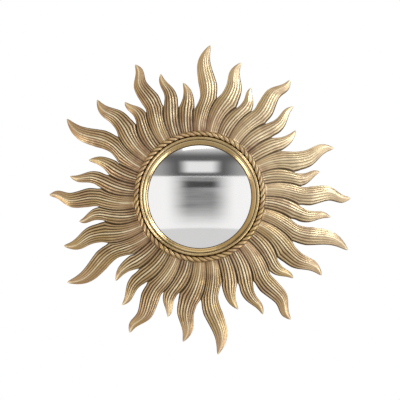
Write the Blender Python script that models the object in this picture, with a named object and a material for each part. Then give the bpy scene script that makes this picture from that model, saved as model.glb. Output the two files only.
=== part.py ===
"""Sunburst wall mirror: one gilt casting of flames round a roped ring, with a convex glass,
a backing board and a sawtooth hanger.

Metres. X is to the right, Z is up and Y goes back to the wall, so the front faces -Y. The origin is
where the ring's axis meets the wall. Heights are measured forward from the wall, and bearings
clockwise from the top as the front shows them.
"""

import math

import bmesh
import bpy

# Gap kept between pieces that touch
TOUCH = 0.0003
# Sides of every round piece
ROUND_SIDES = 60

# Glass: what shows of it, its lap behind the lip, and its dome
SIGHT_RADIUS = 0.103
GLASS_LAP = 0.003
GLASS_THICKNESS = 0.003
GLASS_DOME_RISE = 0.015
GLASS_RINGS = 3

# Board that closes the back and presses the glass against the lip
BOARD_THICKNESS = 0.008

# Ring moulding, from the lip at the glass outwards
LIP_THICKNESS = 0.0012
BAND_WIDTH = 0.0084
BAND_HEIGHT = 0.0202
BAND_BULGE = 0.0012
BAND_POINTS = 4
GROOVE_WIDTH = 0.0010
GROOVE_HEIGHT = 0.0190
BEAD_WIDTH = 0.0066
BEAD_HEIGHT = 0.0254
BEAD_SWEEP = math.radians(80)
BEAD_POINTS = 5
GAP_WIDTH = 0.0006
GAP_HEIGHT = 0.0180

# Rope round the ring
ROPE_DIAMETER = 0.0100
ROPE_HEIGHT = 0.0268
ROPE_STRANDS = 64
ROPE_STRAND_DEPTH = 0.0011
ROPE_SLANT = 0.85
ROPE_ROWS = 5
ROPE_WRAP = math.radians(100)

# Flames: the ring that they spring from and their heights
ROOT_GAP = 0.0014
ROOT_CREST_HEIGHT = 0.0190
ROOT_CREASE_HEIGHT = 0.0135
BELLY_CREST_HEIGHT = 0.0180
TIP_CREST_HEIGHT = 0.0080
EDGE_HEIGHT = 0.0060
# How sharply a flame's front is ridged across, and how evenly its crest falls to the tip
ROOF_POWER = 1.5
CREST_FALL_POWER = 0.9
FLUTE_DEPTH = 0.0024
FLAME_FLUTES = 3
CREASE_STATIONS = 3
EDGE_STATIONS = 7
# Ways that a flame's outline runs
CREASE_BEND = 2.6
EDGE_FLARE = 3.3
EDGE_FLARE_POWER = 0.7
TAPER_POWER = 0.7
TIP_CROWDING = 1.25

# Each kind of flame: its length from the root, its width in steps (one step is the bearing between
# two roots), the share of its length at which it starts to taper, and the turns of its middle line
# as (share of the length, lean in steps), the last one at the tip
FLAMES = {
    "A": {"length": 0.180, "width": 0.88, "taper": 0.56, "turns": ((0.42, 0.45), (0.80, 0.16), (1.0, 0.36))},
    "B": {"length": 0.155, "width": 1.02, "taper": 0.48, "turns": ((0.63, 0.63), (0.86, 0.47), (1.0, 0.59))},
    "C": {"length": 0.1135, "width": 0.82, "taper": 0.52, "turns": ((0.69, 0.58), (0.96, 0.37), (1.0, 0.38))},
    "D": {
        "length": 0.169,
        "width": 0.91,
        "taper": 0.54,
        "turns": ((0.48, 0.46), (0.73, 0.34), (0.93, 0.57), (1.0, 0.54)),
    },
    "E": {"length": 0.1315, "width": 0.70, "taper": 0.57, "turns": ((0.65, 0.47), (0.91, 0.29), (1.0, 0.33))},
    "F": {"length": 0.1035, "width": 0.85, "taper": 0.47, "turns": ((0.77, 0.37), (1.0, 0.21))},
}

# Valley between each pair of neighbours: its distance from the root and its lean in steps
VALLEYS = {
    "AB": (0.072, 0.43),
    "BC": (0.063, 0.60),
    "CD": (0.070, 0.43),
    "DE": (0.066, 0.44),
    "EF": (0.055, 0.25),
    "FA": (0.041, 0.04),
    "EA": (0.054, 0.27),
    "FB": (0.053, 0.13),
}

# Flames round the ring, clockwise, one of the six sets being short, and the first root's bearing
FLAME_ORDER = "ABCDEF" + "BCDE" + "ABCDEF" * 4
FIRST_BEARING = math.radians(0.2)

# Sawtooth hanger on the board, in its own recess, and the two pins that hold it
HANGER_LENGTH = 0.046
HANGER_WIDTH = 0.009
HANGER_THICKNESS = 0.0010
HANGER_STAND_OFF = 0.0012
HANGER_JOGGLE = 0.0018
HANGER_DISTANCE = 0.076
HANGER_TEETH = 8
TOOTH_DEPTH = 0.0016
HANGER_TAB = 0.007
RECESS_DEPTH = 0.0038
RECESS_MARGIN = 0.003
PIN_HEAD_DIAMETER = 0.0050
PIN_HEAD_THICKNESS = 0.0009
PIN_HEAD_TOP_SHARE = 0.7
PIN_SHANK_DIAMETER = 0.0016
PIN_SHANK_LENGTH = 0.0045
PIN_SIDES = 8

# Worked out from the sizes above
GLASS_RADIUS = SIGHT_RADIUS + GLASS_LAP
GLASS_BALL = (SIGHT_RADIUS**2 + GLASS_DOME_RISE**2) / (2 * GLASS_DOME_RISE)
RIM_DROP = GLASS_BALL - GLASS_DOME_RISE - math.sqrt((GLASS_BALL - GLASS_THICKNESS) ** 2 - GLASS_RADIUS**2)
SEAT_HEIGHT = BOARD_THICKNESS + TOUCH + RIM_DROP + TOUCH
REBATE_RADIUS = GLASS_RADIUS + TOUCH
GROOVE_RADIUS = SIGHT_RADIUS + BAND_WIDTH + GROOVE_WIDTH / 2
BEAD_RADIUS = SIGHT_RADIUS + BAND_WIDTH + GROOVE_WIDTH + BEAD_WIDTH / 2
ROPE_RADIUS = BEAD_RADIUS + BEAD_WIDTH / 2 + GAP_WIDTH + ROPE_DIAMETER / 2
ROOT_RADIUS = ROPE_RADIUS + ROPE_DIAMETER / 2 + ROOT_GAP
STEP = math.tau / len(FLAME_ORDER)


def clear_scene():
    """Takes every object out of the scene."""
    for thing in list(bpy.data.objects):
        bpy.data.objects.remove(thing, do_unlink=True)


def make_material(name, color, roughness, metallic):
    """One Principled material."""
    material = bpy.data.materials.new(name)
    material.use_nodes = True
    shader = material.node_tree.nodes["Principled BSDF"]
    shader.inputs["Base Color"].default_value = (*color, 1.0)
    shader.inputs["Roughness"].default_value = roughness
    shader.inputs["Metallic"].default_value = metallic
    return material


def make_object(name, bm, material=None, sharp=math.radians(30)):
    """Turns a bmesh into a named object with outward faces."""
    bm.normal_update()
    bmesh.ops.recalc_face_normals(bm, faces=bm.faces[:])
    mesh = bpy.data.meshes.new(name)
    bm.to_mesh(mesh)
    bm.free()
    mesh.shade_smooth()
    mesh.set_sharp_from_angle(angle=sharp)
    thing = bpy.data.objects.new(name, mesh)
    bpy.context.scene.collection.objects.link(thing)
    if material:
        mesh.materials.append(material)
    return thing


def cut_away(thing, name, bm):
    """Cuts a closed shape out of an object."""
    cutter = make_object(name, bm)
    cutter.hide_render = True
    cutter.display_type = "WIRE"
    boolean = thing.modifiers.new(name, "BOOLEAN")
    boolean.operation = "DIFFERENCE"
    boolean.object = cutter


def place(bearing, radius, height):
    """The point at a bearing from the top, a radius from the axis and a height off the wall."""
    return (radius * math.sin(bearing), -height, radius * math.cos(bearing))


def mix(low, high, share):
    """The value a share of the way from low to high."""
    return low + (high - low) * share


def round_ring(bm, radius, height):
    """One closed ring of vertices as (bearing, vertex) pairs."""
    bearings = [math.tau * side / ROUND_SIDES for side in range(ROUND_SIDES)]
    return [(bearing, bm.verts.new(place(bearing, radius, height))) for bearing in bearings]


def join_rings(bm, first, second):
    """Fills the band between two rings that have as many vertices."""
    for index, (_, corner) in enumerate(first):
        ahead = (index + 1) % len(first)
        bm.faces.new((corner, first[ahead][1], second[ahead][1], second[index][1]))


def zip_rings(bm, first, second):
    """Fills the band between two rings of unlike counts with triangles, always taking the nearer step."""
    a, b = 0, 0
    while a < len(first) or b < len(second):
        corner_a = first[a % len(first)][1]
        corner_b = second[b % len(second)][1]
        ahead_a = first[(a + 1) % len(first)]
        ahead_b = second[(b + 1) % len(second)]
        bearing_a = ahead_a[0] + math.tau * ((a + 1) // len(first))
        bearing_b = ahead_b[0] + math.tau * ((b + 1) // len(second))
        if b == len(second) or (a < len(first) and bearing_a <= bearing_b):
            bm.faces.new((corner_a, ahead_a[1], corner_b))
            a += 1
        else:
            bm.faces.new((corner_a, ahead_b[1], corner_b))
            b += 1


def sorted_ring(ring):
    """A ring's pairs in order of bearing, each bearing brought within one turn."""
    return sorted(((bearing % math.tau, corner) for bearing, corner in ring), key=lambda pair: pair[0])


def ring_profile():
    """The moulding's (radius, height) points from the glass out to the rope's gap."""
    lip_height = SEAT_HEIGHT + LIP_THICKNESS
    points = [(SIGHT_RADIUS, SEAT_HEIGHT)]
    for number in range(BAND_POINTS):
        share = number / (BAND_POINTS - 1)
        bulge = 4 * BAND_BULGE * share * (1 - share)
        points.append((SIGHT_RADIUS + BAND_WIDTH * share, mix(lip_height, BAND_HEIGHT, share) + bulge))
    points.append((GROOVE_RADIUS, GROOVE_HEIGHT))
    for number in range(BEAD_POINTS):
        turn = mix(-BEAD_SWEEP, BEAD_SWEEP, number / (BEAD_POINTS - 1))
        radius = BEAD_RADIUS + BEAD_WIDTH / 2 * math.sin(turn)
        points.append((radius, mix(GROOVE_HEIGHT, BEAD_HEIGHT, math.cos(turn))))
    points.append((BEAD_RADIUS + BEAD_WIDTH / 2 + GAP_WIDTH / 2, GAP_HEIGHT))
    return points


def rope_row(bm, row):
    """One row of the rope, along its length, as (bearing, vertex) pairs. Odd vertices lie in the grooves."""
    share = row / (ROPE_ROWS - 1)
    turn = mix(-ROPE_WRAP, ROPE_WRAP, share)
    slant = ROPE_SLANT * (0.5 - share) * math.tau / ROPE_STRANDS
    pairs = []
    for index in range(ROPE_STRANDS * 2):
        bearing = math.tau * index / (ROPE_STRANDS * 2) + slant
        groove = ROPE_STRAND_DEPTH * (index % 2)
        reach = ROPE_DIAMETER / 2 - groove
        radius = ROPE_RADIUS + reach * math.sin(turn)
        height = ROPE_HEIGHT - ROPE_DIAMETER / 2 + reach * math.cos(turn)
        pairs.append((bearing, bm.verts.new(place(bearing, radius, height))))
    return pairs


def middle_lean(kind, share):
    """How far a flame's middle line leans, in steps, at a share of its length."""
    before = (0.0, 0.0)
    turns = FLAMES[kind]["turns"]
    for number, (at, lean) in enumerate(turns):
        if share <= at or number == len(turns) - 1:
            part = (share - before[0]) / (at - before[0])
            last = number == len(turns) - 1
            ease = 1 - math.cos(part * math.pi / 2) if last else (1 - math.cos(part * math.pi)) / 2
            return mix(before[1], lean, ease)
        before = (at, lean)


def half_width(kind, share):
    """Half a flame's width, in steps, at a share of its length."""
    taper = FLAMES[kind]["taper"]
    part = max(0.0, (share - taper) / (1 - taper))
    return FLAMES[kind]["width"] / 2 * (1 - min(1.0, part)) ** TAPER_POWER


def edge_lean(kind, side, distance):
    """Lean of a flame's free edge, in steps, at a distance from its root; side is -1 left, 1 right."""
    share = distance / FLAMES[kind]["length"]
    return middle_lean(kind, share) + side * half_width(kind, share)


def border(kind, side, valley, station):
    """(lean, distance) of a flame's border at a station: along the crease, then along its free edge."""
    distance, lean = valley
    valley_lean = lean + side * 0.5
    if station <= CREASE_STATIONS:
        share = station / CREASE_STATIONS
        return mix(side * 0.5, valley_lean, share**CREASE_BEND), distance * share
    share = (station - CREASE_STATIONS) / EDGE_STATIONS
    along = mix(distance, FLAMES[kind]["length"], 1 - (1 - share) ** TIP_CROWDING)
    offset = valley_lean - edge_lean(kind, side, distance)
    flare = EDGE_FLARE * abs(offset) * STEP * (ROOT_RADIUS + distance)
    settled = min(1.0, (along - distance) / max(flare, TOUCH)) ** EDGE_FLARE_POWER
    return edge_lean(kind, side, along) + offset * (1 - settled), along


def crest_height(kind, distance):
    """Height of a flame's crest: level to where it tapers, then falling to the tip."""
    share = distance / FLAMES[kind]["length"]
    taper = FLAMES[kind]["taper"]
    if share < taper:
        return mix(ROOT_CREST_HEIGHT, BELLY_CREST_HEIGHT, share / taper)
    return mix(BELLY_CREST_HEIGHT, TIP_CREST_HEIGHT, ((share - taper) / (1 - taper)) ** CREST_FALL_POWER)


def border_height(distance, valley_distance):
    """Height of a flame's border: down the crease to the valley, then level along the free edge."""
    share = min(1.0, distance / valley_distance)
    return mix(ROOT_CREASE_HEIGHT, EDGE_HEIGHT, share)


def flame_column(number, kind, left_valley, right_valley, station, share):
    """The point of a flame's front at a station, a share of the way from its left to its right border."""
    left_lean, left_distance = border(kind, -1, left_valley, station)
    right_lean, right_distance = border(kind, 1, right_valley, station)
    bearing = FIRST_BEARING + (number + mix(left_lean, right_lean, share)) * STEP
    distance = mix(left_distance, right_distance, share)
    edge = mix(
        border_height(left_distance, left_valley[0]),
        border_height(right_distance, right_valley[0]),
        share,
    )
    rise = crest_height(kind, distance) - edge
    roof = 1 - abs(2 * share - 1) ** ROOF_POWER
    return bearing, ROOT_RADIUS + distance, edge + rise * roof


def add_flames(bm):
    """Adds the flames' fronts, walls and backs, and gives the ring of their roots and of the back's valleys."""
    count = len(FLAME_ORDER)
    pairs = [FLAME_ORDER[n] + FLAME_ORDER[(n + 1) % count] for n in range(count)]
    columns = 2 * FLAME_FLUTES
    stations = CREASE_STATIONS + EDGE_STATIONS
    left_crease, first_crease = None, None
    back_valleys = []
    roots = []
    for number, kind in enumerate(FLAME_ORDER):
        left_valley = VALLEYS[pairs[number - 1]]
        right_valley = VALLEYS[pairs[number]]

        def front(station, column):
            bearing, radius, height = flame_column(
                number, kind, left_valley, right_valley, station, column / columns
            )
            inner_valley = column % 2 == 0 and 0 < column < columns
            if inner_valley:
                height -= FLUTE_DEPTH * (1 - station / stations)
            return bearing, bm.verts.new(place(bearing, radius, height))

        grid = [[front(station, column) for column in range(1, columns)] for station in range(stations)]
        tip = front(stations, 0)
        # A crease belongs to both its flames, so only its right flame makes it
        if left_crease is None:
            left_crease = [front(station, 0) for station in range(CREASE_STATIONS + 1)]
            first_crease = left_crease
        if number == count - 1:
            right_crease = first_crease
        else:
            right_crease = [front(station, columns) for station in range(CREASE_STATIONS + 1)]
        free = range(CREASE_STATIONS + 1, stations)
        left = left_crease + [front(station, 0) for station in free]
        right = right_crease + [front(station, columns) for station in free]
        rows = [[left[s], *grid[s], right[s]] for s in range(stations)]
        roots += rows[0][:-1]
        for low, high in zip(rows, rows[1:]):
            for column in range(columns):
                corners = (low[column], low[column + 1], high[column + 1], high[column])
                bm.faces.new([corner for _, corner in corners])
        for column in range(columns):
            bm.faces.new((rows[-1][column][1], rows[-1][column + 1][1], tip[1]))
        left_crease = right_crease
        back_valleys.append((rows, tip))
    return roots, back_valleys


def add_back(bm, flames):
    """Closes the flames' walls and backs, and gives the ring of valleys on the back."""

    def on_wall(pair):
        x, _, z = pair[1].co
        return pair[0], bm.verts.new((x, 0.0, z))

    valleys = [on_wall(rows[CREASE_STATIONS][0]) for rows, _ in flames]
    for number, (rows, tip) in enumerate(flames):
        free = rows[CREASE_STATIONS:]
        left_front = [row[0] for row in free] + [tip]
        right_front = [row[-1] for row in free] + [tip]
        tip_back = on_wall(tip)
        left_back = [valleys[number]] + [on_wall(pair) for pair in left_front[1:-1]] + [tip_back]
        ahead = (number + 1) % len(flames)
        right_back = [valleys[ahead]] + [on_wall(pair) for pair in right_front[1:-1]] + [tip_back]
        for front, back in ((left_front, left_back), (right_front, right_back)):
            for here in range(len(front) - 1):
                corners = (front[here], front[here + 1], back[here + 1], back[here])
                bm.faces.new([corner for _, corner in corners])
        for here in range(len(left_back) - 2):
            corners = (left_back[here], right_back[here], right_back[here + 1], left_back[here + 1])
            bm.faces.new([corner for _, corner in corners])
        bm.faces.new((left_back[-2][1], right_back[-2][1], tip_back[1]))
    return valleys


def build_frame(material):
    """The casting: flames, rope and ring moulding in one, with a rebate for the glass and the board."""
    bm = bmesh.new()
    roots, flames = add_flames(bm)
    rope = [rope_row(bm, row) for row in range(ROPE_ROWS)]
    for inner, outer in zip(rope, rope[1:]):
        join_rings(bm, inner, outer)
    zip_rings(bm, sorted_ring(rope[-1]), sorted_ring(roots))
    moulding = [round_ring(bm, radius, height) for radius, height in ring_profile()]
    for inner, outer in zip(moulding, moulding[1:]):
        join_rings(bm, inner, outer)
    zip_rings(bm, moulding[-1], sorted_ring(rope[0]))
    seat = round_ring(bm, REBATE_RADIUS, SEAT_HEIGHT)
    rebate = round_ring(bm, REBATE_RADIUS, 0.0)
    join_rings(bm, moulding[0], seat)
    join_rings(bm, seat, rebate)
    zip_rings(bm, rebate, sorted_ring(add_back(bm, flames)))
    return make_object("frame", bm, material)


def build_glass(material):
    """The convex glass, of even thickness, its front touching the lip at the edge that shows."""
    bm = bmesh.new()
    ball_centre = SEAT_HEIGHT - TOUCH + GLASS_DOME_RISE - GLASS_BALL

    def dome(radius, depth):
        return ball_centre + math.sqrt((GLASS_BALL - depth) ** 2 - radius**2)

    sheets = []
    for depth in (0.0, GLASS_THICKNESS):
        rings = []
        for number in range(1, GLASS_RINGS + 1):
            radius = GLASS_RADIUS * number / GLASS_RINGS
            rings.append(round_ring(bm, radius, dome(radius, depth)))
        for inner, outer in zip(rings, rings[1:]):
            join_rings(bm, inner, outer)
        centre = bm.verts.new((0.0, -dome(0.0, depth), 0.0))
        for index, (_, corner) in enumerate(rings[0]):
            bm.faces.new((corner, rings[0][(index + 1) % ROUND_SIDES][1], centre))
        sheets.append(rings[-1])
    join_rings(bm, *sheets)
    return make_object("mirror_glass", bm, material)


def add_disc(bm, radius, low, high, centre_x=0.0, centre_z=0.0, sides=ROUND_SIDES):
    """A short cylinder along Y between two heights."""
    rings = []
    for height in (low, high):
        ring = []
        for side in range(sides):
            x, y, z = place(math.tau * side / sides, radius, height)
            ring.append(bm.verts.new((x + centre_x, y, z + centre_z)))
        bm.faces.new(ring)
        rings.append(ring)
    for side in range(sides):
        ahead = (side + 1) % sides
        bm.faces.new((rings[0][side], rings[0][ahead], rings[1][ahead], rings[1][side]))


def add_block(bm, width, tall, low, high, centre_z):
    """A block between two heights, centred on the axis from side to side."""
    made = bmesh.ops.create_cube(bm, size=1.0)
    for corner in made["verts"]:
        x, y, z = corner.co
        corner.co = (x * width, -mix(low, high, y + 0.5), z * tall + centre_z)


def pin_places():
    """Where the hanger's two pins stand, left and right."""
    reach = HANGER_LENGTH / 2 - HANGER_TAB / 2
    return (("left", -reach), ("right", reach))


def build_board(material):
    """The backing board, flush with the wall, with the hanger's recess and its pin holes."""
    bm = bmesh.new()
    add_disc(bm, GLASS_RADIUS, 0.0, BOARD_THICKNESS)
    board = make_object("backing_board", bm, material)
    recess = bmesh.new()
    margin = 2 * RECESS_MARGIN
    add_block(recess, HANGER_LENGTH + margin, HANGER_WIDTH + margin, -RECESS_DEPTH, RECESS_DEPTH, HANGER_DISTANCE)
    cut_away(board, "recess_cutter", recess)
    deep = RECESS_DEPTH + PIN_SHANK_LENGTH - HANGER_THICKNESS + TOUCH
    for side, x in pin_places():
        hole = bmesh.new()
        add_disc(hole, PIN_SHANK_DIAMETER / 2 + TOUCH, 0.0, deep, x, HANGER_DISTANCE, PIN_SIDES)
        cut_away(board, f"board_hole_cutter_{side}", hole)
    return board


def build_hanger(material):
    """The sawtooth strip: flat tabs on the recess's floor, and a toothed middle that stands off it."""
    bm = bmesh.new()
    floor = RECESS_DEPTH - TOUCH
    half = HANGER_LENGTH / 2
    middle = half - HANGER_TAB
    toothed = middle - HANGER_JOGGLE
    steps = 2 * HANGER_TEETH
    stations = [(-half, 0.0, 0), (-middle, 0.0, 0)]
    for number in range(steps + 1):
        stations.append((mix(-toothed, toothed, number / steps), HANGER_STAND_OFF, number % 2))
    stations += [(middle, 0.0, 0), (half, 0.0, 0)]
    sections = []
    for x, lift, tooth in stations:
        back = -(floor - HANGER_THICKNESS - lift)
        front = -(floor - lift)
        top = HANGER_DISTANCE + HANGER_WIDTH / 2
        bottom = HANGER_DISTANCE - HANGER_WIDTH / 2 + TOOTH_DEPTH * tooth
        corners = ((back, bottom), (front, bottom), (front, top), (back, top))
        sections.append([bm.verts.new((x, y, z)) for y, z in corners])
    bm.faces.new(sections[0])
    bm.faces.new(sections[-1])
    for near, far in zip(sections, sections[1:]):
        for corner in range(4):
            ahead = (corner + 1) % 4
            bm.faces.new((near[corner], near[ahead], far[ahead], far[corner]))
    hanger = make_object("hanger", bm, material)
    for side, x in pin_places():
        hole = bmesh.new()
        radius = PIN_SHANK_DIAMETER / 2 + TOUCH
        add_disc(hole, radius, 0.0, RECESS_DEPTH + HANGER_THICKNESS, x, HANGER_DISTANCE, PIN_SIDES)
        cut_away(hanger, f"hanger_hole_cutter_{side}", hole)
    return hanger


def build_pin(side, x, material):
    """One pin: a flat head on the hanger's tab, and a shank through it into the board."""
    bm = bmesh.new()
    under_head = RECESS_DEPTH - 2 * TOUCH - HANGER_THICKNESS
    profile = (
        (PIN_HEAD_DIAMETER / 2 * PIN_HEAD_TOP_SHARE, under_head - PIN_HEAD_THICKNESS),
        (PIN_HEAD_DIAMETER / 2, under_head - PIN_HEAD_THICKNESS / 2),
        (PIN_HEAD_DIAMETER / 2, under_head),
        (PIN_SHANK_DIAMETER / 2, under_head),
        (PIN_SHANK_DIAMETER / 2, under_head + PIN_SHANK_LENGTH),
    )
    rings = []
    for radius, height in profile:
        ring = []
        for number in range(PIN_SIDES):
            px, py, pz = place(math.tau * number / PIN_SIDES, radius, height)
            ring.append((0.0, bm.verts.new((px + x, py, pz + HANGER_DISTANCE))))
        rings.append(ring)
    for near, far in zip(rings, rings[1:]):
        join_rings(bm, near, far)
    for end in (rings[0], rings[-1]):
        bm.faces.new([corner for _, corner in end])
    return make_object(f"hanger_pin_{side}", bm, material)


def main():
    clear_scene()
    gilt = make_material("antique_gilt", (0.42, 0.26, 0.11), 0.38, 0.85)
    mirror = make_material("mirror_silver", (0.86, 0.87, 0.88), 0.06, 1.0)
    board = make_material("dark_board", (0.10, 0.07, 0.05), 0.8, 0.0)
    steel = make_material("hanger_steel", (0.62, 0.61, 0.58), 0.4, 1.0)
    build_frame(gilt)
    build_glass(mirror)
    build_board(board)
    build_hanger(steel)
    for side, x in pin_places():
        build_pin(side, x, steel)


main()
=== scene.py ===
"""Dresses the sunburst mirror: its finely reeded gilt casting with rope and ring moulding, its convex
glass, and the finishes of its board and hanger. Metres, +X right, +Y into the wall, +Z up.
"""
import math

import bmesh
import bpy
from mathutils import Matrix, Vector


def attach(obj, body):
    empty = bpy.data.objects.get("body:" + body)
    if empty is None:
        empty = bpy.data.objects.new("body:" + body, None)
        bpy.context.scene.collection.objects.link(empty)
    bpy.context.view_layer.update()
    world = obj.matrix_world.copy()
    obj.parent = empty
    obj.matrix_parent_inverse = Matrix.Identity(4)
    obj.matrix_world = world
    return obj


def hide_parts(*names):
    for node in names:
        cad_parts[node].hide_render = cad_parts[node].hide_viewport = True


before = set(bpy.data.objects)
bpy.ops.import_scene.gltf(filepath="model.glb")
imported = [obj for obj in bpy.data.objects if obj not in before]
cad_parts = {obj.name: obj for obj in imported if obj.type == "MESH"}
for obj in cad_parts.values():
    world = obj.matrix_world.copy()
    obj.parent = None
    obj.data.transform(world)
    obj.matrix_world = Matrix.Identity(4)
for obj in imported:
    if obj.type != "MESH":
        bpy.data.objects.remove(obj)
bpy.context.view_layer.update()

# Gap kept between pieces that touch
TOUCH = 0.0003
# Vertices nearer to each other than this become one
MERGE_DISTANCE = 0.00002
# Farther from the axis than any part of the mirror
BEYOND = 1.0

# Glass, as the casting's rebate holds it
SIGHT_RADIUS = 0.103
GLASS_LAP = 0.003
GLASS_THICKNESS = 0.003
GLASS_DOME_RISE = 0.015
BOARD_THICKNESS = 0.008
GLASS_ARC_STEPS = 24
# Edges of the glass that bend more than this are sharp
GLASS_SHARP = math.radians(40)
GLASS_RADIUS = SIGHT_RADIUS + GLASS_LAP
GLASS_BALL = (SIGHT_RADIUS**2 + GLASS_DOME_RISE**2) / (2 * GLASS_DOME_RISE)
RIM_DROP = GLASS_BALL - GLASS_DOME_RISE - math.sqrt((GLASS_BALL - GLASS_THICKNESS) ** 2 - GLASS_RADIUS**2)
SEAT_HEIGHT = BOARD_THICKNESS + TOUCH + RIM_DROP + TOUCH
REBATE_RADIUS = GLASS_RADIUS + TOUCH

# Ring moulding, from the lip at the glass outwards
LIP_THICKNESS = 0.0012
BAND_WIDTH = 0.0084
BAND_HEIGHT = 0.0202
BAND_BULGE = 0.0012
BAND_STEPS = 10
GROOVE_WIDTH = 0.0010
GROOVE_HEIGHT = 0.0190
BEAD_WIDTH = 0.0066
BEAD_HEIGHT = 0.0254
BEAD_SWEEP = math.radians(82)
BEAD_STEPS = 12
GAP_WIDTH = 0.0006
GAP_HEIGHT = 0.0180
RING_STEPS = 192
GROOVE_RADIUS = SIGHT_RADIUS + BAND_WIDTH + GROOVE_WIDTH / 2
BEAD_RADIUS = SIGHT_RADIUS + BAND_WIDTH + GROOVE_WIDTH + BEAD_WIDTH / 2
GAP_RADIUS = BEAD_RADIUS + BEAD_WIDTH / 2 + GAP_WIDTH / 2
# How dirty its groove and the band's foot are, how soon that dirt ends, and how rubbed band and bead are;
# the rub on the bead's top is also a painted highlight
MOULDING_DIRT = 0.9
BAND_DIRT_FALL = 8
BAND_RUB = 0.12
BEAD_RUB_AND_HIGHLIGHT = 0.4

# Rope round the ring
ROPE_DIAMETER = 0.0100
ROPE_HEIGHT = 0.0268
ROPE_STRANDS = 64
ROPE_STRAND_DEPTH = 0.0017
ROPE_SLANT = 1.35
ROPE_WRAP = math.radians(104)
ROPE_STEPS_A_STRAND = 8
ROPE_ROWS = 16
ROPE_RADIUS = BEAD_RADIUS + BEAD_WIDTH / 2 + GAP_WIDTH + ROPE_DIAMETER / 2
# Shares of a strand and of the wrap at which dirt and shade start, and how fast that shade deepens
ROPE_DIRT_START = 0.6
# How pale the strands' crowns are: rub and painted highlight
ROPE_RUB_AND_HIGHLIGHT = 0.6
ROPE_SHADE_START = 0.75
ROPE_SHADE_GAIN = 3

# Flames: where they spring from and their heights off the wall
ROOT_RADIUS = ROPE_RADIUS + ROPE_DIAMETER / 2 + 0.0014
ROOT_CREST_HEIGHT = 0.0190
ROOT_CREASE_HEIGHT = 0.0155
BELLY_CREST_HEIGHT = 0.0180
TIP_CREST_HEIGHT = 0.0080
TIP_FALL_POWER = 0.9
VALLEY_HEIGHT = 0.0090
EDGE_HEIGHT = 0.0066
TIP_RISE = 0.0008
# A distance from the roots that lies short of every valley
BEFORE_VALLEYS = 0.02
# Across a flame: how its left and right sides slope, and how far the right one falls before the
# shoulder that stands over the next flame
LEFT_POWER = 1.2
RIGHT_POWER = 1.2
RIGHT_FALL = 0.62
SHOULDER = 0.86
# How late a crease bends towards its valley, and how softly the free edges leave the valley
CREASE_BEND = 2.6
EDGE_FLARE = 3.3
EDGE_FLARE_POWER = 0.7
# How round a flame's taper is, and how much closer its stations lie at the tip
TAPER_POWER = 0.7
TIP_CROWDING = 1.25
# How soon the pull of a flame's borders fades towards its middle
BORDER_REACH = 3.2
# How soon the front sinks to its edge at a flame's tip
TIP_SINK = 9
# Rows of a flame's grid down its creases, and from the valleys to the tip
CREASE_STATIONS = 16
FREE_STATIONS = {"A": 38, "B": 36, "C": 25, "D": 38, "E": 30, "F": 25}
# Edges of the casting that bend more than this are sharp
CASTING_SHARP = math.radians(62)

# Reeds of a flame: how many on a long and on a short one, and their depth as a share of their width
REEDS = {"A": 7, "B": 7, "C": 5, "D": 7, "E": 5, "F": 5}
COLUMNS_A_REED = 6
REED_DEPTH = 0.18
# How far the crest, on the middle reed, lies to the left of the middle, as a share of the width
CREST_SHIFT = 0.07
# How much of a groove's shape is a sharp edge, the rest being a soft wave
GROOVE_EDGE = 0.3
# How deep the weak reeds left of the crest are, and how much patina with painted shade, and rubbing with
# painted highlight, they carry
LEFT_REED_SHARE = 0.62
WEAK_MARK = 0.8
# Reeds show in full where they are at least so wide, and are gone where they would be finer than this
PLAIN_REED = 0.0050
FINEST_REED = 0.0026
# A share of the width nearer to a border than this is on the border, which no reed cuts
ON_BORDER = 0.001

# Marks of a flame that its gilding follows: how narrow its groove dirt with painted shade and its rubbed
# ribs with painted highlight are
DIRT_POWER = 1.8
RIB_POWER = 1.5
# How much rub and painted highlight a flame carries where its reeds are gone
FLAT_RUB_AND_HIGHLIGHT = 0.3
# The rubbed stripe along the crest, a painted highlight as well: its least width, its strength on the crest
# and how fast it fades
CREST_WIDTH = 0.0032
CREST_STRENGTH = 1.5
CREST_FALL = 2.2
# Shade beside the creases: how fast it fades, in reeds, and on the left how far past the valley it goes
LEFT_SHADE_FALL = 1.4
RIGHT_SHADE_FALL = 1.6
SHADE_END = 1.12
SHADE_END_FALL = 4
# How far from the root the brown reaches: patina, with the painted shadow of the rope
ROOT_PATINA_AND_SHADOW = 0.045
# How dark the tips are, and the share of the length at which they start to darken
TIP_PATINA = 0.9
TIP_START = 0.78

# Each kind of flame: its length from the root, its width in steps (one step is the bearing between
# two roots), the share of its length at which it starts to taper, and the turns of its middle line
# as (share of the length, lean in steps), the last one at the tip
FLAMES = {
    "A": {
        "length": 0.180,
        "width": 0.88,
        "taper": 0.56,
        "turns": ((0.42, 0.45), (0.80, 0.16), (1.0, 0.36)),
    },
    "B": {
        "length": 0.155,
        "width": 1.02,
        "taper": 0.48,
        "turns": ((0.63, 0.63), (0.86, 0.47), (1.0, 0.59)),
    },
    "C": {
        "length": 0.1135,
        "width": 0.82,
        "taper": 0.52,
        "turns": ((0.69, 0.58), (0.96, 0.37), (1.0, 0.38)),
    },
    "D": {
        "length": 0.169,
        "width": 0.91,
        "taper": 0.54,
        "turns": ((0.48, 0.46), (0.73, 0.34), (0.93, 0.57), (1.0, 0.54)),
    },
    "E": {
        "length": 0.1315,
        "width": 0.70,
        "taper": 0.57,
        "turns": ((0.65, 0.47), (0.91, 0.29), (1.0, 0.33)),
    },
    "F": {
        "length": 0.1035,
        "width": 0.85,
        "taper": 0.47,
        "turns": ((0.77, 0.37), (1.0, 0.21)),
    },
}

# Valley between each pair of neighbours: its distance from the root and its lean in steps
VALLEYS = {
    "AB": (0.072, 0.43),
    "BC": (0.063, 0.60),
    "CD": (0.070, 0.43),
    "DE": (0.066, 0.44),
    "EF": (0.055, 0.25),
    "FA": (0.041, 0.04),
    "EA": (0.054, 0.27),
    "FB": (0.053, 0.13),
}

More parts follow.
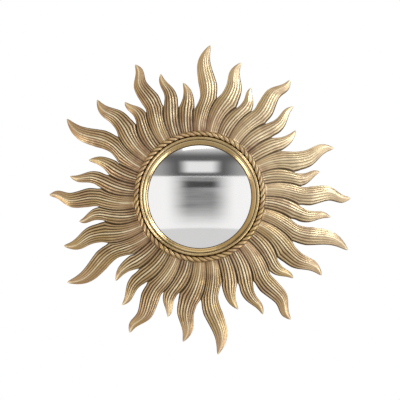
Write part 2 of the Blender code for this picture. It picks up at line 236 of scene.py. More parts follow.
# Flames round the ring, clockwise, one of the six sets being short, and the first root's bearing
FLAME_ORDER = "ABCDEF" + "BCDE" + "ABCDEF" * 4
FIRST_BEARING = math.radians(0.2)
STEP = math.tau / len(FLAME_ORDER)

# Marks that the casting's vertices carry for its gilding: grooves for patina with painted shade, ribs and
# crest for rub with painted highlight, creases for painted shade
MARKS = ("groove", "rib", "crest", "crease", "root", "smooth_part")

# Gilding: its two base golds, and its metal and roughness before anything lies over it
OLIVE_GOLD = (0.62, 0.45, 0.19)
ROSE_GOLD = (0.62, 0.425, 0.235)
GILT_METAL = 0.96
GILT_ROUGHNESS = 0.33
BLOTCH_ROUGHNESS = 0.16
# What lies over it, in order: the colour, how much metal it hides and how much roughness it adds
GILT_LAYERS = {
    # Painted light: a lighter gold towards the upper right
    "painted_light_side": ((0.82, 0.69, 0.47), 0.0, 0.0),
    "moulding": ((0.60, 0.46, 0.24), 0.0, -0.175),
    # Rubbed ribs, partly painted highlight
    "rub_and_painted_highlight": ((0.97, 0.82, 0.56), 0.45, 0.0),
    # Wear, with painted shade on the lower left and near the roots
    "worn": ((0.31, 0.17, 0.105), 0.6, 0.25),
    # A painted highlight along the crests, partly rub
    "bright": ((1.0, 0.88, 0.62), 0.3, 0.0),
    # Patina with painted shade in the grooves, and painted shade beside the creases
    "dirt_and_painted_shade": ((0.055, 0.028, 0.009), 0.4, 0.3),
}
# How strongly each cause counts for a layer
# Painted light: how strongly the gilding lightens towards the upper right
PAINTED_LIGHT_SIDE = {"right": 0.8, "up": 0.5, "share": 0.75}
MOULDING_SHARE = 0.8
# Rub with painted highlight on the ribs
RUB_AND_PAINTED_HIGHLIGHT = {"always": 0.25, "rub_and_highlight_patches": 0.6}
# Wear in patches and specks; the side term is painted shade on the lower left, the root term darkens the
# roots
WEAR_AND_PAINTED_SHADE = {"patches": 0.45, "specks": 0.03, "root": 0.35, "painted_shade_side": 0.13}
# Painted highlight, partly rub, along the crests
CREST_RUB_AND_PAINTED_HIGHLIGHT = {"always": 0.52, "rub_and_highlight_patches": 0.3, "less_on_painted_light_side": 0.4}
# Groove patina with painted shade, weaker on the painted light side; painted shade beside the creases
DIRT_AND_PAINTED_SHADE = {"groove": 1.2, "less_on_painted_light_side": 0.5, "crease": 0.75, "blotches": 0.5}
# Unevenness of the gilding's surface: from its blotches and from its specks
GILT_BUMPS = {"blotches": 0.5, "specks": 0.02}

# Colours of the other pieces and of the floor, each from one to the other
SILVER = ((0.90, 0.90, 0.91), (0.94, 0.94, 0.95))
BOARD_BROWN = ((0.05, 0.032, 0.02), (0.13, 0.088, 0.055))
BOARD_STAIN = (0.035, 0.024, 0.017)
BOARD_STAIN_SHARE = 0.5
STEEL_GREY = ((0.62, 0.61, 0.58), (0.44, 0.43, 0.42))
FLOOR_WHITE = ((0.80, 0.79, 0.78), (0.84, 0.83, 0.82))
# Roughness of the other pieces and of the floor: the least, and what their patterns add
SILVER_ROUGHNESS = (0.05, 0.03)
BOARD_ROUGHNESS = (0.65, 0.25)
STEEL_ROUGHNESS = (0.3, 0.2, 0.1)
FLOOR_ROUGHNESS = 0.7
# How far a pattern is drawn out along the fibres of the board and along the rolled lines of the steel
FIBRE_STRETCH = (60.0, 60.0, 900.0)
ROLLED_STRETCH = (40.0, 900.0, 900.0)

# Room that the glass shows, by how far a direction goes sideways and up. A pair says where a zone
# starts and where it is full; a bar is one from low to high, with soft edges of the third width
ROOM_EDGE = (-0.62, -0.76)
WIDE_EDGE = (0.12, 0.44)
NARROW_EDGE = (0.12, 0.28)
GROUND_EDGE = (-0.300, -0.285)
SCREEN_FOOT = (-0.34, 0.02)
SCREEN_TOP = (0.325, 0.340)
RAIL_BAR = (0.215, 0.27, 0.02)
BEAM_FOOT = (0.335, 0.345)
BEAM_TOP = (0.56, 0.70)
BEAM_END_SIDES = (0.25, 0.52)
BEAM_END_TOP = (0.46, 0.56)
WINDOW_BAR = (0.40, 0.50, 0.03)
# Streaks on the screen: how fine they are sideways and up
STREAKS_SIDEWAYS = 1.5
STREAKS_UP = 40
# How bright the room is, and how much each zone of it takes away or has
ROOM_LEVEL = 0.97
GROUND_SHADE = 0.28
SCREEN_SHADE = 0.70
STREAK_SHADE = 0.5
RAIL_SHADE = 0.75
BEAM_LEVEL = 0.11
BEAM_END_LIGHT = 0.26
WINDOW_LEVEL = 0.85
BLACK = (0.0, 0.0, 0.0)
WHITE = (1.0, 1.0, 1.0)
ROOM_WHITE = (1.0, 0.99, 0.975)
# Surroundings that light the gilding, each side from low to high
AROUND_EDGE = (-0.8, 0.8)
LEFT_AROUND = ((0.55, 0.42, 0.36), (0.76, 0.62, 0.41))
RIGHT_AROUND = ((0.42, 0.39, 0.34), (0.06, 0.055, 0.05))

# Floor below the mirror: half its width, and its height
FLOOR_REACH = 2.1
FLOOR_HEIGHT = -1.4

# Soft lights: place, width and height, power and colour
DAYLIGHT = (0.97, 0.98, 0.98)
LIGHTS = {
    "right_light": ((0.78, -0.42, -0.52), (0.35, 0.5), 2.2, DAYLIGHT),
    "upper_right_light": ((0.64, -0.54, 0.60), (0.32, 0.32), 2.9, DAYLIGHT),
    "window_light": ((2.00, -1.50, 0.30), (0.9, 1.2), 14.0, DAYLIGHT),
    "ceiling_light": ((0.20, -1.50, 2.30), (1.8, 1.4), 6.0, (1.0, 0.98, 0.94)),
    "left_light": ((-0.90, -0.50, -0.48), (0.25, 0.45), 2.2, (1.0, 0.97, 0.93)),
}

# Camera, from the photograph: how far, how far below the axis, and how the picture is framed
CAMERA_DISTANCE = 1.300
CAMERA_BELOW = math.radians(5.61)
CAMERA_TURN = math.radians(0.41)
CAMERA_RIGHT = 0.0007
CAMERA_UP = -0.0061
CAMERA_LENS = 58.5
CAMERA_SENSOR = 36.0

# Sockets of the node that mixes two colours
MIX_SHARE = 0
MIX_FIRST = 6
MIX_SECOND = 7
MIX_RESULT = 2
# Output of the attribute node that gives one value
ATTRIBUTE_VALUE = 2


class Shade:
    """A socket of a node tree that takes part in arithmetic."""

    def __init__(self, tree, socket):
        self.tree = tree
        self.socket = socket

    def __add__(self, other):
        return self.tree.maths("ADD", self, other)

    def __radd__(self, other):
        return self.tree.maths("ADD", other, self)

    def __sub__(self, other):
        return self.tree.maths("SUBTRACT", self, other)

    def __rsub__(self, other):
        return self.tree.maths("SUBTRACT", other, self)

    def __mul__(self, other):
        return self.tree.maths("MULTIPLY", self, other)

    def __rmul__(self, other):
        return self.tree.maths("MULTIPLY", other, self)

    def clamped(self):
        """The shade, kept between 0 and 1."""
        return self.tree.node("ShaderNodeClamp", None, self, 0.0, 1.0)


class Tree:
    """The node tree of a material or a world."""

    def __init__(self, owner):
        owner.use_nodes = True
        self.nodes = owner.node_tree.nodes
        self.links = owner.node_tree.links

    def node(self, kind, settings=None, *values, output=0, sockets=None):
        """Makes a node, sets it, fills its sockets in order or by key, and gives one of its outputs."""
        made = self.nodes.new(kind)
        for name, value in (settings or {}).items():
            setattr(made, name, value)
        for key, value in [*enumerate(values), *(sockets or {}).items()]:
            self.feed(made.inputs[key], value)
        return Shade(self, made.outputs[output])

    def feed(self, socket, value):
        """Links a shade to a socket, or sets the socket to a number, a vector or a colour."""
        if isinstance(value, Shade):
            self.links.new(value.socket, socket)
        elif socket.type == "RGBA":
            socket.default_value = (*value, 1.0)
        else:
            socket.default_value = value

    def maths(self, operation, *values):
        """One step of arithmetic on its values."""
        return self.node("ShaderNodeMath", {"operation": operation}, *values)

    def blend(self, share, first, second):
        """Mixes two colours."""
        sockets = {MIX_SHARE: share, MIX_FIRST: first, MIX_SECOND: second}
        return self.node("ShaderNodeMix", {"data_type": "RGBA"}, output=MIX_RESULT, sockets=sockets)

    def noise(self, coordinates, scale, detail=3.0, roughness=0.55):
        """Soft noise from 0 to 1."""
        sockets = {"Vector": coordinates, "Scale": scale, "Detail": detail, "Roughness": roughness}
        return self.node("ShaderNodeTexNoise", sockets=sockets)

    def stretched(self, coordinates, scale):
        """Coordinates scaled along each axis, which draws a pattern out along the least scaled one."""
        return self.node("ShaderNodeMapping", sockets={"Vector": coordinates, "Scale": scale})

    def bump(self, height, strength, distance):
        """A surface made uneven by a height."""
        sockets = {"Strength": strength, "Distance": distance, "Height": height}
        return self.node("ShaderNodeBump", sockets=sockets)

    def band(self, value, low, high):
        """Smooth rise from 0 at low to 1 at high."""
        settings = {"interpolation_type": "SMOOTHSTEP"}
        return self.node("ShaderNodeMapRange", settings, value, low, high, 0.0, 1.0)

    def bar(self, value, low, high, soft):
        """1 between low and high, falling off softly beyond them."""
        return self.band(value, low - soft, low) * (1 - self.band(value, high, high + soft))

    def parts_of(self, place_or_direction):
        """The X, Y and Z of a place or a direction."""
        first = self.node("ShaderNodeSeparateXYZ", None, place_or_direction)
        return [Shade(self, socket) for socket in first.socket.node.outputs]

    def attribute(self, name):
        """A mark that the mesh carries."""
        return self.node("ShaderNodeAttribute", {"attribute_name": name}, output=ATTRIBUTE_VALUE)

    def finish(self, values):
        """Gives the material's shader its values or patterns."""
        for name, value in values.items():
            self.feed(self.nodes["Principled BSDF"].inputs[name], value)


def mix(low, high, share):
    """The value a share of the way from low to high."""
    return low + (high - low) * share


def clamp(value):
    """The value, kept between 0 and 1."""
    return min(1.0, max(0.0, value))


def new_material(name):
    """An empty material with its node tree and its object coordinates."""
    material = bpy.data.materials.new(name)
    tree = Tree(material)
    return material, tree, tree.node("ShaderNodeTexCoord", output="Object")


def gilt_finish():
    """Antique gilding: pale on the ribs and crests, rub with painted highlight; olive gold between; brown
    patina with painted shade in the grooves and creases; painted light on the upper right.
    """
    material, tree, where = new_material("antique_gilt")
    groove, rib, crest, crease, root, smooth_part = (tree.attribute(name) for name in MARKS)
    clouds = tree.band(tree.noise(where, scale=16.0), low=0.35, high=0.65)
    # Patches where rub and painted highlight are stronger
    rub_and_highlight_patches = tree.band(tree.noise(where, scale=24.0), low=0.40, high=0.62)
    patches = tree.band(tree.noise(where, scale=38.0), low=0.45, high=0.72)
    blotches = tree.noise(where, scale=90.0, detail=2.0, roughness=0.5)
    specks = tree.noise(where, scale=900.0, detail=2.0, roughness=0.6)
    dark_specks = tree.band(specks, low=0.55, high=0.8)
    uneven = blotches - 0.5
    right, _, up = tree.parts_of(where)
    # Painted light: the gilding lightens towards the upper right and its groove darkening weakens there
    painted_light_side = tree.band(right * PAINTED_LIGHT_SIDE["right"] + up * PAINTED_LIGHT_SIDE["up"], low=0.03, high=0.20)

    worn = patches * WEAR_AND_PAINTED_SHADE["patches"] + dark_specks * WEAR_AND_PAINTED_SHADE["specks"] + root * WEAR_AND_PAINTED_SHADE["root"]
    # Painted shade: the lower left darkens
    worn += (1 - painted_light_side) * WEAR_AND_PAINTED_SHADE["painted_shade_side"]
    # Painted highlight, partly rub, along the crests
    bright = crest * (rub_and_highlight_patches * CREST_RUB_AND_PAINTED_HIGHLIGHT["rub_and_highlight_patches"] + CREST_RUB_AND_PAINTED_HIGHLIGHT["always"])
    # Groove patina with painted shade, weaker where the painted light falls, and painted shade beside the
    # creases
    dirt_and_painted_shade = groove * (DIRT_AND_PAINTED_SHADE["groove"] - painted_light_side * DIRT_AND_PAINTED_SHADE["less_on_painted_light_side"])
    dirt_and_painted_shade += crease * DIRT_AND_PAINTED_SHADE["crease"] + uneven * DIRT_AND_PAINTED_SHADE["blotches"] * groove
    shares = {
        "painted_light_side": painted_light_side * PAINTED_LIGHT_SIDE["share"],
        "moulding": smooth_part * MOULDING_SHARE,
        "rub_and_painted_highlight": (rib * (rub_and_highlight_patches * RUB_AND_PAINTED_HIGHLIGHT["rub_and_highlight_patches"] + RUB_AND_PAINTED_HIGHLIGHT["always"])).clamped(),
        "worn": (worn * (1 - smooth_part)).clamped(),
        "bright": (bright * (1 - painted_light_side * CREST_RUB_AND_PAINTED_HIGHLIGHT["less_on_painted_light_side"])).clamped(),
        "dirt_and_painted_shade": dirt_and_painted_shade.clamped(),
    }

    colour = tree.blend(clouds, OLIVE_GOLD, ROSE_GOLD)
    metal = GILT_METAL
    roughness = GILT_ROUGHNESS + uneven * BLOTCH_ROUGHNESS
    for name, (layer_colour, hidden_metal, added_roughness) in GILT_LAYERS.items():
        colour = tree.blend(shares[name], colour, layer_colour)
        metal -= shares[name] * hidden_metal
        roughness += shares[name] * added_roughness
    bump_height = blotches * GILT_BUMPS["blotches"] + specks * GILT_BUMPS["specks"]
    tree.finish(
        {
            "Base Color": colour,
            "Metallic": metal.clamped(),
            "Roughness": roughness.clamped(),
            "Normal": tree.bump(bump_height, strength=0.12, distance=0.0004),
        }
    )
    return material


def mirror_finish():
    """Silvered glass with a faint unevenness in its sheen."""
    material, tree, where = new_material("mirror_silver")
    haze = tree.noise(where, scale=14.0, detail=2.0)
    least_roughness, haze_roughness = SILVER_ROUGHNESS
    tree.finish(
        {
            "Base Color": tree.blend(haze, *SILVER),
            "Metallic": 1.0,
            "Roughness": least_roughness + haze * haze_roughness,
        }
    )
    return material


def board_finish():
    """Dark stained fibreboard with short fibres."""
    material, tree, where = new_material("dark_board")
    fibres = tree.noise(tree.stretched(where, FIBRE_STRETCH), scale=6.0, detail=4.0, roughness=0.65)
    stains = tree.band(tree.noise(where, scale=22.0), low=0.4, high=0.7)
    least_roughness, fibre_roughness = BOARD_ROUGHNESS
    colour = tree.blend(fibres, *BOARD_BROWN)
    tree.finish(
        {
            "Base Color": tree.blend(stains * BOARD_STAIN_SHARE, colour, BOARD_STAIN),
            "Roughness": least_roughness + fibres * fibre_roughness,
            "Normal": tree.bump(fibres, strength=0.4, distance=0.0003),
        }
    )
    return material


def steel_finish():
    """Zinc-plated steel with rolled lines and dull spots."""
    material, tree, where = new_material("hanger_steel")
    lines = tree.noise(tree.stretched(where, ROLLED_STRETCH), scale=5.0)
    spots = tree.noise(where, scale=260.0)
    least_roughness, line_roughness, spot_roughness = STEEL_ROUGHNESS
    tree.finish(
        {
            "Base Color": tree.blend(tree.band(spots, low=0.45, high=0.7), *STEEL_GREY),
            "Metallic": 1.0,
            "Roughness": least_roughness + lines * line_roughness + spots * spot_roughness,
            "Normal": tree.bump(lines, strength=0.3, distance=0.0001),
        }
    )
    return material


def floor_finish():
    """Plain pale floor."""
    material, tree, where = new_material("pale_floor")
    clouds = tree.noise(where, scale=2.0)
    tree.finish({"Base Color": tree.blend(clouds, *FLOOR_WHITE), "Roughness": FLOOR_ROUGHNESS})
    return material


def place(bearing, radius, height):
    """The point at a bearing from the top, a radius from the axis and a height off the wall."""
    return Vector((radius * math.sin(bearing), -height, radius * math.cos(bearing)))


def middle_lean(kind, share):
    """How far a flame's middle line leans, in steps, at a share of its length."""
    before = (0.0, 0.0)
    turns = FLAMES[kind]["turns"]
    for number, (turn_share, lean) in enumerate(turns):
        last = number == len(turns) - 1
        if share <= turn_share or last:
            part = (share - before[0]) / (turn_share - before[0])
            ease = 1 - math.cos(part * math.pi / 2) if last else (1 - math.cos(part * math.pi)) / 2
            return mix(before[1], lean, ease)
        before = (turn_share, lean)


def half_width(kind, share):
    """Half a flame's width, in steps, at a share of its length."""
    taper = FLAMES[kind]["taper"]
    part = clamp((share - taper) / (1 - taper))
    return FLAMES[kind]["width"] / 2 * (1 - part) ** TAPER_POWER


def edge_lean(kind, side, distance):
    """Lean of a flame's free edge, in steps, at a distance from its root; side is -1 left, 1 right."""
    share = distance / FLAMES[kind]["length"]
    return middle_lean(kind, share) + side * half_width(kind, share)


def border(kind, side, valley, station):
    """(lean, distance) of a flame's border, station 0 to 1 down the crease, then 1 to 2 to the tip."""
    distance, lean = valley
    valley_lean = lean + side * 0.5
    if station <= 1:
        return mix(side * 0.5, valley_lean, station**CREASE_BEND), distance * station
    share = station - 1
    along = mix(distance, FLAMES[kind]["length"], 1 - (1 - share) ** TIP_CROWDING)
    offset = valley_lean - edge_lean(kind, side, distance)
    flare = EDGE_FLARE * abs(offset) * STEP * (ROOT_RADIUS + distance)
    settled = min(1.0, (along - distance) / max(flare, TOUCH)) ** EDGE_FLARE_POWER
    return edge_lean(kind, side, along) + offset * (1 - settled), along


def crest_height(kind, distance):
    """Height of a flame's crest: level to where it tapers, then falling to the tip."""
    share = distance / FLAMES[kind]["length"]
    taper = FLAMES[kind]["taper"]
    if share < taper:
        return mix(ROOT_CREST_HEIGHT, BELLY_CREST_HEIGHT, share / taper)
    return mix(BELLY_CREST_HEIGHT, TIP_CREST_HEIGHT, ((share - taper) / (1 - taper)) ** TIP_FALL_POWER)


def border_height(kind, distance, valley_distance):
    """Height of a flame's border: down the crease to the valley, then gently down along the free edge."""
    if distance > valley_distance:
        share = (distance - valley_distance) / (FLAMES[kind]["length"] - valley_distance)
        return mix(VALLEY_HEIGHT, EDGE_HEIGHT, share)
    share = distance / valley_distance
    return mix(ROOT_CREASE_HEIGHT, VALLEY_HEIGHT, share * share * (3 - 2 * share))


def flame_valleys(number):
    """The valleys to the left and to the right of a flame."""
    before, kind, after = (FLAME_ORDER[(number + side) % len(FLAME_ORDER)] for side in (-1, 0, 1))
    return VALLEYS[before + kind], VALLEYS[kind + after]


def across_flame(number, kind, valleys, station, share):
    """Where a share of a flame's width lies: bearing, distance from the root, edge height and width."""
    left_valley, right_valley = valleys
    left_lean, left_distance = border(kind, -1, left_valley, station)
    right_lean, right_distance = border(kind, 1, right_valley, station)
    across = share - CREST_SHIFT * 4 * share * (1 - share)
    distance = mix(left_distance, right_distance, across)
    part = distance / FLAMES[kind]["length"]
    lean = middle_lean(kind, part) + (2 * across - 1) * half_width(kind, part)
    lean += (left_lean - edge_lean(kind, -1, left_distance)) * (1 - across) ** BORDER_REACH
    lean += (right_lean - edge_lean(kind, 1, right_distance)) * across**BORDER_REACH
    left_edge = border_height(kind, left_distance, left_valley[0])
    right_edge = border_height(kind, right_distance, right_valley[0])
    bearing = FIRST_BEARING + (number + lean) * STEP
    width = (right_lean - left_lean) * STEP * (ROOT_RADIUS + distance)
    return bearing, distance, mix(left_edge, right_edge, across), width


def roof(share):
    """How high a flame's front stands, from 0 at its borders to 1 at its crest, at a share of its width."""
    if share < 0.5:
        return 1 - (1 - 2 * share) ** LEFT_POWER
    part = 2 * share - 1
    slope = 1 - RIGHT_FALL * part**RIGHT_POWER
    return slope * (1 - max(0.0, (part - SHOULDER) / (1 - SHOULDER)) ** 2)


def reed_cut(reeds, width, share):
    """How deep the reeds cut into a flame at a share of its width, and how much groove and rib is there."""
    in_reed = abs(2 * ((share * reeds) % 1.0) - 1)
    if not ON_BORDER <= share <= 1 - ON_BORDER:
        in_reed = 0.0
    weak = share < 0.5 - 0.5 / reeds
    strength = LEFT_REED_SHARE if weak else 1.0
    mark = WEAK_MARK if weak else 1.0
    shown = clamp((width / reeds - FINEST_REED) / (PLAIN_REED - FINEST_REED))
    hollow = (1 - math.cos(math.pi * in_reed)) / 2
    shape = mix(hollow, in_reed**2, GROOVE_EDGE)
    depth = REED_DEPTH * strength * shown * shape * width / reeds
    # Dark groove marks are patina with painted shade; pale rib marks are rub with painted highlight
    groove = hollow**DIRT_POWER * shown * mark
    rib = mix(FLAT_RUB_AND_HIGHLIGHT, (1 - hollow) ** RIB_POWER, shown) * mark
    return depth, groove, rib


def flame_point(number, kind, valleys, station, share):
    """A point of a flame's front, and the marks that it carries."""
    bearing, distance, edge, width = across_flame(number, kind, valleys, station, share)
    reeds = REEDS[kind]
    depth, groove, rib = reed_cut(reeds, width, share)
    rise = max(crest_height(kind, distance) - edge, TIP_RISE) * min(1.0, TIP_SINK * (2 - station))
    point = place(bearing, ROOT_RADIUS + distance, edge + rise * roof(share) - depth)
    crest_reach = max(1 / reeds, CREST_WIDTH / max(width, TOUCH))
    before_end = clamp((SHADE_END - station) * SHADE_END_FALL)
    left_shade = max(0.0, 1 - share * reeds * LEFT_SHADE_FALL) * before_end
    right_shade = max(0.0, 1 - (1 - share) * reeds * RIGHT_SHADE_FALL)
    towards_tip = (distance / FLAMES[kind]["length"] - TIP_START) / (1 - TIP_START)
    marks = {
        "groove": groove,
        "rib": rib,
        "crest": clamp(CREST_STRENGTH - CREST_FALL * abs(share - 0.5) / crest_reach),
        "crease": max(left_shade, right_shade),
        # Brown near the root is patina with the rope's painted shadow; the tips darken too
        "root": max(0.0, 1 - distance / ROOT_PATINA_AND_SHADOW, TIP_PATINA * towards_tip),
    }
    return point, marks


def grid_of(bm, columns, rows):
    """A grid's vertices, each with the shares of the columns and of the rows at which it lies."""
    corners = bmesh.ops.create_grid(bm, x_segments=columns, y_segments=rows, size=1.0)["verts"]
    return [(corner, (corner.co.x + 1) / 2, (corner.co.y + 1) / 2) for corner in corners]


def add_flames(bm, layers):
    """One fine grid for each flame, bent to its shape and joined to its neighbours at their creases."""
    for number, kind in enumerate(FLAME_ORDER):
        valleys = flame_valleys(number)
        stations = CREASE_STATIONS + FREE_STATIONS[kind]
        for corner, share, along in grid_of(bm, REEDS[kind] * COLUMNS_A_REED, stations):
            step_along = round(along * stations)
            if step_along <= CREASE_STATIONS:
                station = step_along / CREASE_STATIONS
            else:
                station = 1 + (step_along - CREASE_STATIONS) / FREE_STATIONS[kind]
            corner.co, marks = flame_point(number, kind, valleys, station, share)
            for name, value in marks.items():
                corner[layers[name]] = value
    bmesh.ops.remove_doubles(bm, verts=bm.verts[:], dist=MERGE_DISTANCE)


def add_walls_and_backs(bm):
    """Drops the flames' free edges to the wall, and closes each flame's back with one strip."""
    outline = open_edges(bm, ROOT_RADIUS + BEFORE_VALLEYS, BEYOND)
    dropped = bmesh.ops.extrude_edge_only(bm, edges=outline)["geom"]
    behind = [thing for thing in dropped if isinstance(thing, bmesh.types.BMVert)]
    for number, kind in enumerate(FLAME_ORDER):
        valleys = flame_valleys(number)
        steps = FREE_STATIONS[kind]
        for corner, side, along in grid_of(bm, 1, steps):
            station = 1 + round(along * steps) / steps
            corner.co, _ = flame_point(number, kind, valleys, station, float(round(side)))
            behind.append(corner)
    for corner in behind:
        corner.co.y = 0.0
    bmesh.ops.remove_doubles(bm, verts=behind, dist=MERGE_DISTANCE)


def add_rope(bm, layers):
    """The rope: a grid wrapped round the ring, its strands slanting across it."""
    corners = grid_of(bm, ROPE_STRANDS * ROPE_STEPS_A_STRAND, ROPE_ROWS)
    for corner, round_ring, share in corners:
        along = round_ring * ROPE_STRANDS
        turn = mix(-ROPE_WRAP, ROPE_WRAP, share)
        in_strand = abs(2 * (along % 1.0) - 1)
        reach = ROPE_DIAMETER / 2 - ROPE_STRAND_DEPTH * in_strand**2
        slant = ROPE_SLANT * (0.5 - share) * math.tau / ROPE_STRANDS
        bearing = math.tau * along / ROPE_STRANDS + slant
        height = ROPE_HEIGHT - ROPE_DIAMETER / 2 + reach * math.cos(turn)
        corner.co = place(bearing, ROPE_RADIUS + reach * math.sin(turn), height)
        corner[layers["groove"]] = max(0.0, (in_strand - ROPE_DIRT_START) / (1 - ROPE_DIRT_START))
        # Pale strand crowns: rub and painted highlight
        corner[layers["rib"]] = ROPE_RUB_AND_HIGHLIGHT * max(0.0, 1 - 2 * in_strand)
        corner[layers["crease"]] = ROPE_SHADE_GAIN * max(0.0, abs(2 * share - 1) - ROPE_SHADE_START)
    bmesh.ops.remove_doubles(bm, verts=[corner for corner, _, _ in corners], dist=MERGE_DISTANCE)


def ring_profile():
    """The moulding's (radius, height, dirt, rub) points from the back round the lip to the rope's gap."""
    points = [
        (REBATE_RADIUS, 0.0, 0.0, 0.0),
        (REBATE_RADIUS, SEAT_HEIGHT, 0.0, 0.0),
        (SIGHT_RADIUS, SEAT_HEIGHT, 1.0, 0.0),
    ]
    for step in range(BAND_STEPS + 1):
        share = step / BAND_STEPS
        bulge = 4 * BAND_BULGE * share * (1 - share)
        height = mix(SEAT_HEIGHT + LIP_THICKNESS, BAND_HEIGHT, share) + bulge
        dirt = MOULDING_DIRT * max(0.0, 1 - BAND_DIRT_FALL * share)
        points.append((SIGHT_RADIUS + BAND_WIDTH * share, height, dirt, BAND_RUB))
    points.append((GROOVE_RADIUS, GROOVE_HEIGHT, MOULDING_DIRT, 0.0))
    for step in range(BEAD_STEPS + 1):
        turn = mix(-BEAD_SWEEP, BEAD_SWEEP, step / BEAD_STEPS)
        radius = BEAD_RADIUS + BEAD_WIDTH / 2 * math.sin(turn)
        height = mix(GROOVE_HEIGHT, BEAD_HEIGHT, math.cos(turn))
        # The rub on the bead's top is also a painted highlight
        points.append((radius, height, 0.0, BEAD_RUB_AND_HIGHLIGHT * max(0.0, math.cos(2 * turn))))
    points.append((GAP_RADIUS, GAP_HEIGHT, 1.0, 0.0))
    return points


def turn_profile(bm, corners):
    """Joins vertices in a row and turns the row once round the mirror's axis."""
    profile = [bm.edges.new(pair) for pair in zip(corners, corners[1:])]
    bmesh.ops.spin(
        bm,
        geom=corners + profile,
        cent=(0, 0, 0),
        axis=(0, 1, 0),
        angle=math.tau,
        steps=RING_STEPS,
        use_merge=True,
    )


def add_ring(bm, layers):
    """The ring moulding, turned from its profile."""
    corners = []
    for radius, height, dirt, rub_and_highlight in ring_profile():
        corner = bm.verts.new(place(0.0, radius, height))
        corner[layers["groove"]] = dirt
        corner[layers["rib"]] = rub_and_highlight
        corner[layers["smooth_part"]] = 1.0
        corners.append(corner)
    turn_profile(bm, corners)


def open_edges(bm, low, high):
    """Open edges that lie between two radii."""
    found = []
    for edge in bm.edges:
        radii = [math.hypot(corner.co.x, corner.co.z) for corner in edge.verts]
        if len(edge.link_faces) == 1 and low < min(radii) and max(radii) < high:
            found.append(edge)
    return found


def bearing_of(corner):
    """A vertex's bearing from the top."""
    return math.atan2(corner.co.x, corner.co.z)


def open_ring(bm, low, high):
    """The vertices of the open edges that lie between two radii, in order of bearing."""
    corners = {corner for edge in open_edges(bm, low, high) for corner in edge.verts}
    return sorted(corners, key=bearing_of)


def zip_rings(bm, first, second):
    """Fills the band between two rings of vertices with triangles, always taking the nearer step."""

    def bearing_at(ring, step):
        return bearing_of(ring[step % len(ring)]) + math.tau * (step // len(ring))

    first_step = 0
    second_step = 0
    while first_step < len(first) or second_step < len(second):
        first_corner = first[first_step % len(first)]
        second_corner = second[second_step % len(second)]
        first_is_nearer = bearing_at(first, first_step + 1) <= bearing_at(second, second_step + 1)
        if second_step == len(second) or (first_step < len(first) and first_is_nearer):
            first_step += 1
            next_corner = first[first_step % len(first)]
        else:
            second_step += 1
            next_corner = second[second_step % len(second)]
        bm.faces.new((first_corner, next_corner, second_corner))


def finish_piece(name, bm, material, sharp):
    """Turns a bmesh into a piece that moves with the mirror."""
    bm.normal_update()
    bmesh.ops.recalc_face_normals(bm, faces=bm.faces[:])
    if bm.calc_volume(signed=True) < 0:
        bmesh.ops.reverse_faces(bm, faces=bm.faces[:])
    piece = link_mesh(name, bm, material)
    piece.data.shade_smooth()
    piece.data.set_sharp_from_angle(angle=sharp)
    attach(piece, "root")
    return piece


def link_mesh(name, bm, material):
    """Makes a bmesh an object of the scene, in one material."""
    mesh = bpy.data.meshes.new(name)
    bm.to_mesh(mesh)
    bm.free()
    mesh.materials.append(material)
    thing = bpy.data.objects.new(name, mesh)
    bpy.context.scene.collection.objects.link(thing)
    return thing


def make_casting(material):
    """The gilt casting in one: flames, rope, ring moulding and flat back."""
    bm = bmesh.new()
    layers = {name: bm.verts.layers.float.new(name) for name in MARKS}
    add_flames(bm, layers)
    roots = open_ring(bm, 0.0, ROOT_RADIUS + TOUCH)
    add_walls_and_backs(bm)
    add_rope(bm, layers)
    rope_outside = open_ring(bm, ROPE_RADIUS, ROOT_RADIUS - TOUCH)
    rope_inside = open_ring(bm, 0.0, ROPE_RADIUS)
    zip_rings(bm, rope_outside, roots)
    add_ring(bm, layers)
    moulding = open_ring(bm, GAP_RADIUS - TOUCH, GAP_RADIUS + TOUCH / 2)
    zip_rings(bm, moulding, rope_inside)
    rebate = open_ring(bm, 0.0, REBATE_RADIUS + TOUCH)
    valleys = open_ring(bm, ROOT_RADIUS, BEYOND)
    zip_rings(bm, rebate, valleys)
    piece = finish_piece("gilt_casting", bm, material, CASTING_SHARP)
    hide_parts("frame")


def make_glass(material):
    """The convex glass, turned from its arc, of even thickness."""
    bm = bmesh.new()
    ball_centre = SEAT_HEIGHT - TOUCH + GLASS_DOME_RISE - GLASS_BALL
    corners = []
    for depth, order in ((0.0, 1), (GLASS_THICKNESS, -1)):
        row = []
        for step in range(GLASS_ARC_STEPS + 1):
            radius = GLASS_RADIUS * step / GLASS_ARC_STEPS
            height = ball_centre + math.sqrt((GLASS_BALL - depth) ** 2 - radius**2)
            row.append(bm.verts.new(place(0.0, radius, height)))
        corners += row[::order]
    turn_profile(bm, corners)
    bmesh.ops.remove_doubles(bm, verts=bm.verts[:], dist=MERGE_DISTANCE)
    piece = finish_piece("convex_glass", bm, material, GLASS_SHARP)
    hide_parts("mirror_glass")


def dress(node, material):
    """Gives a piece of the frame its finish."""
    thing = bpy.data.objects[node]
    thing.data.materials.clear()
    thing.data.materials.append(material)


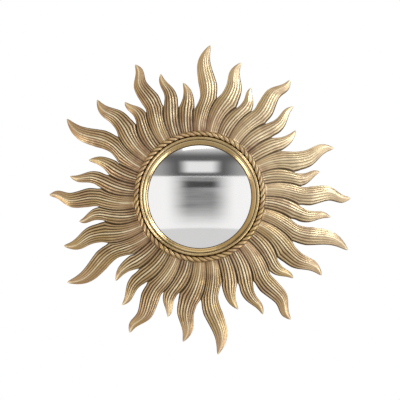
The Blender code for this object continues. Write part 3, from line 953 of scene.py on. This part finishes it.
def room_level(tree, side, up):
    """How bright the room is in a direction: a dark screen with a rail, a dark beam and a window in it."""
    off_middle = tree.maths("ABSOLUTE", side)
    wide = 1 - tree.band(off_middle, *WIDE_EDGE)
    narrow = 1 - tree.band(off_middle, *NARROW_EDGE)
    streak_place = tree.node("ShaderNodeCombineXYZ", None, side * STREAKS_SIDEWAYS, 0.0, up * STREAKS_UP)
    streaks = tree.noise(streak_place, scale=1.0, detail=2.0) - 0.5
    screen = wide * tree.band(up, *SCREEN_FOOT) * (1 - tree.band(up, *SCREEN_TOP))
    ground = 1 - tree.band(up, *GROUND_EDGE)
    level = ROOM_LEVEL - ground * GROUND_SHADE - screen * (SCREEN_SHADE + streaks * STREAK_SHADE)
    level *= 1 - narrow * tree.bar(up, *RAIL_BAR) * RAIL_SHADE
    beam = tree.band(up, *BEAM_FOOT) * (1 - tree.band(up, *BEAM_TOP))
    beam_ends = tree.band(off_middle, *BEAM_END_SIDES) * (1 - tree.band(up, *BEAM_END_TOP))
    level = mix(level, BEAM_LEVEL + beam_ends * BEAM_END_LIGHT, beam)
    return mix(level, WINDOW_LEVEL, narrow * tree.bar(up, *WINDOW_BAR)).clamped()


def make_world():
    """Plain soft studio, white to the camera, and in front of the mirror the pale room of its glass."""
    world = bpy.data.worlds.new("studio")
    bpy.context.scene.world = world
    tree = Tree(world)
    side, depth, up = tree.parts_of(tree.node("ShaderNodeTexCoord", output="Generated"))
    rise = tree.band(up, *AROUND_EDGE)
    left = tree.blend(rise, *LEFT_AROUND)
    right = tree.blend(rise, *RIGHT_AROUND)
    around = tree.blend((side * 0.5 + 0.5).clamped(), left, right)
    room = tree.blend(room_level(tree, side, up), BLACK, ROOM_WHITE)
    colour = tree.blend(tree.band(depth, *ROOM_EDGE), around, room)
    seen = tree.node("ShaderNodeLightPath", output="Is Camera Ray")
    background = tree.nodes["Background"]
    tree.feed(background.inputs["Color"], tree.blend(seen, colour, WHITE))
    tree.feed(background.inputs["Strength"], 1.0)


def make_floor(material):
    """The floor, well below the mirror."""
    bm = bmesh.new()
    bmesh.ops.create_grid(bm, x_segments=1, y_segments=1, size=FLOOR_REACH)
    for corner in bm.verts:
        corner.co.z = FLOOR_HEIGHT
    floor = link_mesh("floor", bm, material)


def make_light(name, place_at, size, power, colour):
    """A soft light, so wide and so high, that faces the mirror."""
    data = bpy.data.lights.new(name, "AREA")
    data.shape = "RECTANGLE"
    data.size, data.size_y = size
    data.energy = power
    data.color = colour
    light = bpy.data.objects.new(name, data)
    light.location = place_at
    light.rotation_euler = (-Vector(place_at)).to_track_quat("-Z", "Y").to_euler()
    bpy.context.scene.collection.objects.link(light)


def make_camera():
    """The camera where the photograph was taken from."""
    toward = Vector(
        (
            math.sin(CAMERA_TURN) * math.cos(CAMERA_BELOW),
            -math.cos(CAMERA_TURN) * math.cos(CAMERA_BELOW),
            -math.sin(CAMERA_BELOW),
        )
    )
    right = Vector((math.cos(CAMERA_TURN), math.sin(CAMERA_TURN), 0.0))
    up = toward.cross(right)
    data = bpy.data.cameras.new("camera")
    data.lens = CAMERA_LENS
    data.sensor_width = CAMERA_SENSOR
    camera = bpy.data.objects.new("camera", data)
    camera.location = toward * CAMERA_DISTANCE + right * CAMERA_RIGHT + up * CAMERA_UP
    camera.rotation_euler = (-toward).to_track_quat("-Z", "Y").to_euler()
    bpy.context.scene.collection.objects.link(camera)
    bpy.context.scene.camera = camera


def main():
    """Sets up the studio, then makes and finishes the pieces of the mirror."""
    make_camera()
    make_world()
    make_floor(floor_finish())
    for name, (place_at, size, power, colour) in LIGHTS.items():
        make_light(name, place_at, size, power, colour)
    bpy.context.scene.view_settings.view_transform = "Standard"
    make_casting(gilt_finish())
    make_glass(mirror_finish())
    dress("backing_board", board_finish())
    steel = steel_finish()
    for node in ("hanger", "hanger_pin_left", "hanger_pin_right"):
        dress(node, steel)


main()
